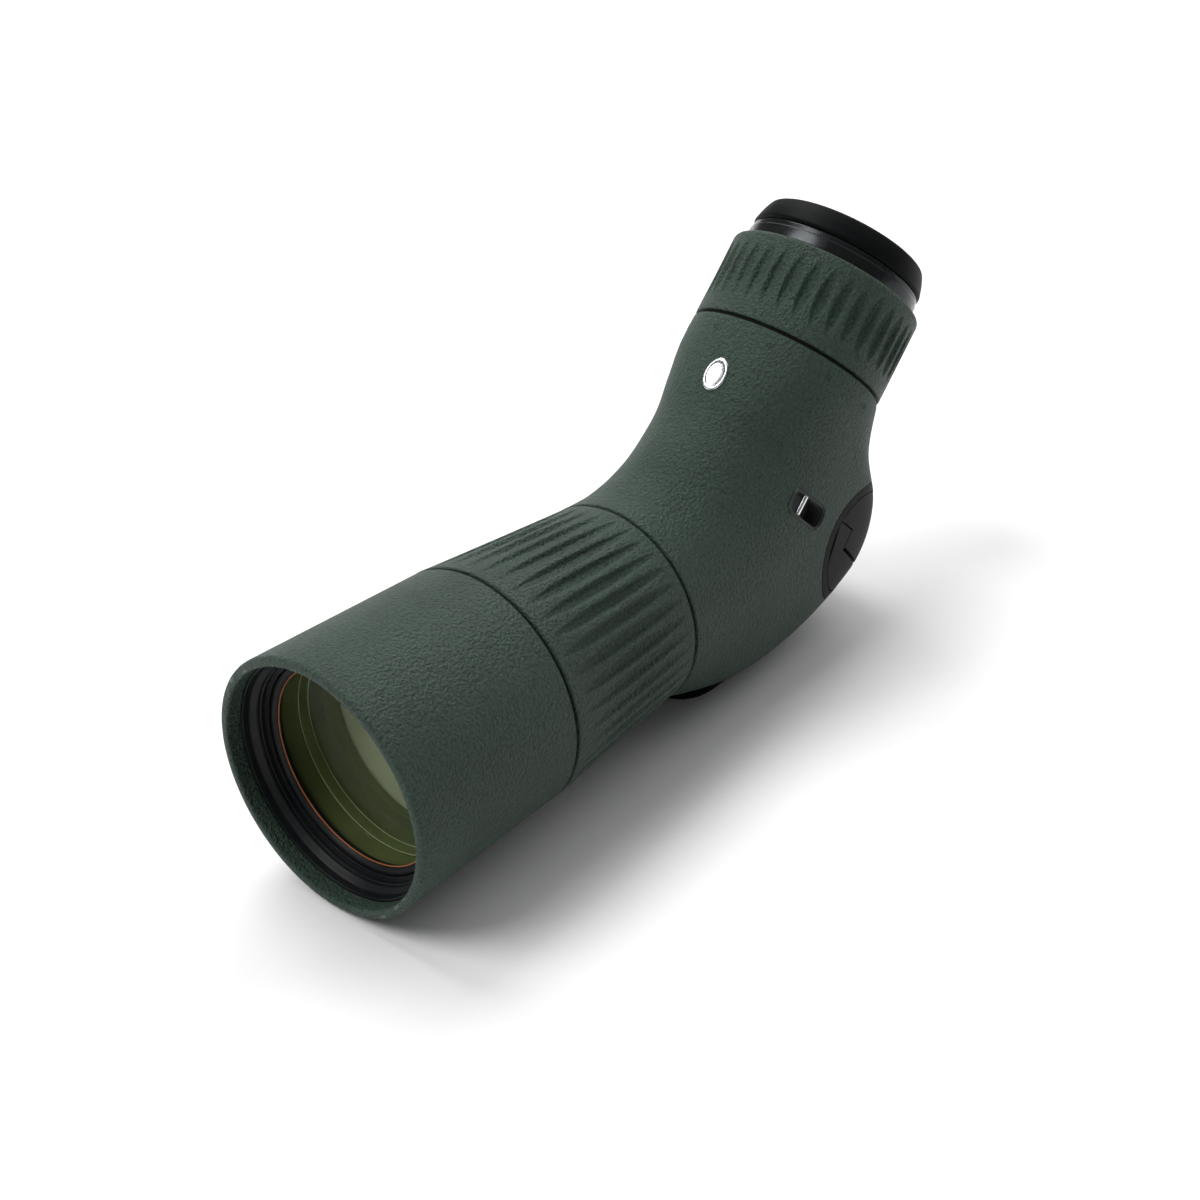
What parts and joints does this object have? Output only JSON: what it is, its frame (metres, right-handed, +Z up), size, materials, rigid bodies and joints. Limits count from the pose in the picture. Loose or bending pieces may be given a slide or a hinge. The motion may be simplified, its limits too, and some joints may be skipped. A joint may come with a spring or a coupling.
{
  "type": "spotting scope",
  "caption": "Angled zoom spotting scope with rubber armour, focus and zoom rings, twist-up eyecup and tripod foot.",
  "frame": {"origin": "on the plane of the tripod foot's flat underside, at the centre of the scope's box in X and Y", "axes": "+Y along the barrel from the objective rim towards the heel, +Z up away from the tripod foot, +X towards the flank with the round cover"},
  "size_m": [0.0728, 0.2354, 0.129],
  "materials": {
    "armour": "grey-green pebbled rubber armour",
    "black_rubber": "matt black rubber",
    "black_metal": "satin black anodised",
    "housing": "cast, matt dark grey",
    "steel": "bright polished steel",
    "glass": "coated optical glass",
    "accent": "orange anodised line"
  },
  "bodies": {
    "body": {"front_armour": "armour", "barrel_tube": "black_metal", "objective_retaining_ring": "black_metal", "objective_accent_ring": "accent", "objective_front_lens": "glass", "objective_front_spacer": "black_metal", "objective_middle_lens": "glass", "objective_rear_spacer": "black_metal", "objective_rear_lens": "glass", "objective_clamp_ring": "black_metal", "barrel_light_baffle": "black_metal", "focus_front_seal": "black_rubber", "focus_rear_seal": "black_rubber", "body_armour": "armour", "body_housing": "housing", "barrel_lock_ring": "black_metal", "eyepiece_lock_ring": "black_metal", "roof_prism": "glass", "prism_cradle": "housing", "eyepiece_tube": "black_metal", "field_lens": "glass", "field_stop": "black_metal", "zoom_ring_seal": "black_rubber", "eye_lens_barrel": "black_metal", "eye_lens": "glass", "strap_recess_right": "black_rubber", "strap_recess_left": "black_rubber", "strap_pin_right": "steel", "strap_pin_left": "steel", "port_well": "black_metal", "port_bezel": "black_rubber", "port_cover_insert": "black_rubber", "foot_screw_1": "steel", "foot_screw_2": "steel", "tripod_foot": "black_rubber", "tripod_bush_large": "steel", "tripod_bush_small": "steel", "badge": "steel"},
    "focus_ring": {"focus_ring_grip": "armour", "focus_ring_sleeve": "black_metal"},
    "focusing_cell": {"focusing_lens_cell": "black_metal", "focusing_lens": "glass", "focus_guide_pin": "steel"},
    "zoom_ring": {"zoom_ring_grip": "armour", "zoom_cam_sleeve": "black_metal"},
    "zoom_front": {"zoom_front_cell": "black_metal", "zoom_front_lens": "glass"},
    "zoom_rear": {"zoom_rear_cell": "black_metal", "zoom_rear_lens": "glass"},
    "eyecup_carrier": {"eyecup_carrier": "black_metal"},
    "eyecup": {"eyecup_sleeve": "black_metal", "eyecup_rubber": "black_rubber"},
    "port_cover": {"port_cover": "black_rubber"}
  },
  "joints": [
    {"name": "focus_turn", "type": "hinge", "parent": "body", "child": "focus_ring", "pos_m": [0, -0.11647, 0.0374], "axis": [0, 1, 0], "range_deg": [-180, 180]},
    {"name": "focus_slide", "type": "slide", "parent": "body", "child": "focusing_cell", "axis": [0, 1, 0], "range_m": [-0.0095, 0.0095]},
    {"name": "zoom_turn", "type": "hinge", "parent": "body", "child": "zoom_ring", "pos_m": [0, 0.02603, 0.0374], "axis": [0, 0.7071, 0.7071], "range_deg": [-95, 75]},
    {"name": "zoom_front_slide", "type": "slide", "parent": "body", "child": "zoom_front", "axis": [0, 0.7071, 0.7071], "range_m": [-0.0016, 0.002]},
    {"name": "zoom_rear_slide", "type": "slide", "parent": "body", "child": "zoom_rear", "axis": [0, 0.7071, 0.7071], "range_m": [-0.002, 0.0016]},
    {"name": "eyecup_slide", "type": "slide", "parent": "body", "child": "eyecup_carrier", "axis": [0, 0.7071, 0.7071], "range_m": [0, 0.008]},
    {"name": "eyecup_turn", "type": "hinge", "parent": "eyecup_carrier", "child": "eyecup", "pos_m": [0, 0.02603, 0.0374], "axis": [0, 0.7071, 0.7071], "range_deg": [0, 300]},
    {"name": "port_cover_pull", "type": "slide", "parent": "body", "child": "port_cover", "axis": [1, 0, 0], "range_m": [0, 0.03]}
  ],
  "couplings": [
    {"joint": "focus_slide", "follows": "focus_turn", "m_per_rad": 0.003},
    {"joint": "zoom_front_slide", "follows": "zoom_turn", "m_per_rad": -0.0012},
    {"joint": "zoom_rear_slide", "follows": "zoom_turn", "m_per_rad": 0.0012},
    {"joint": "eyecup_slide", "follows": "eyecup_turn", "m_per_rad": 0.0015}
  ]
}
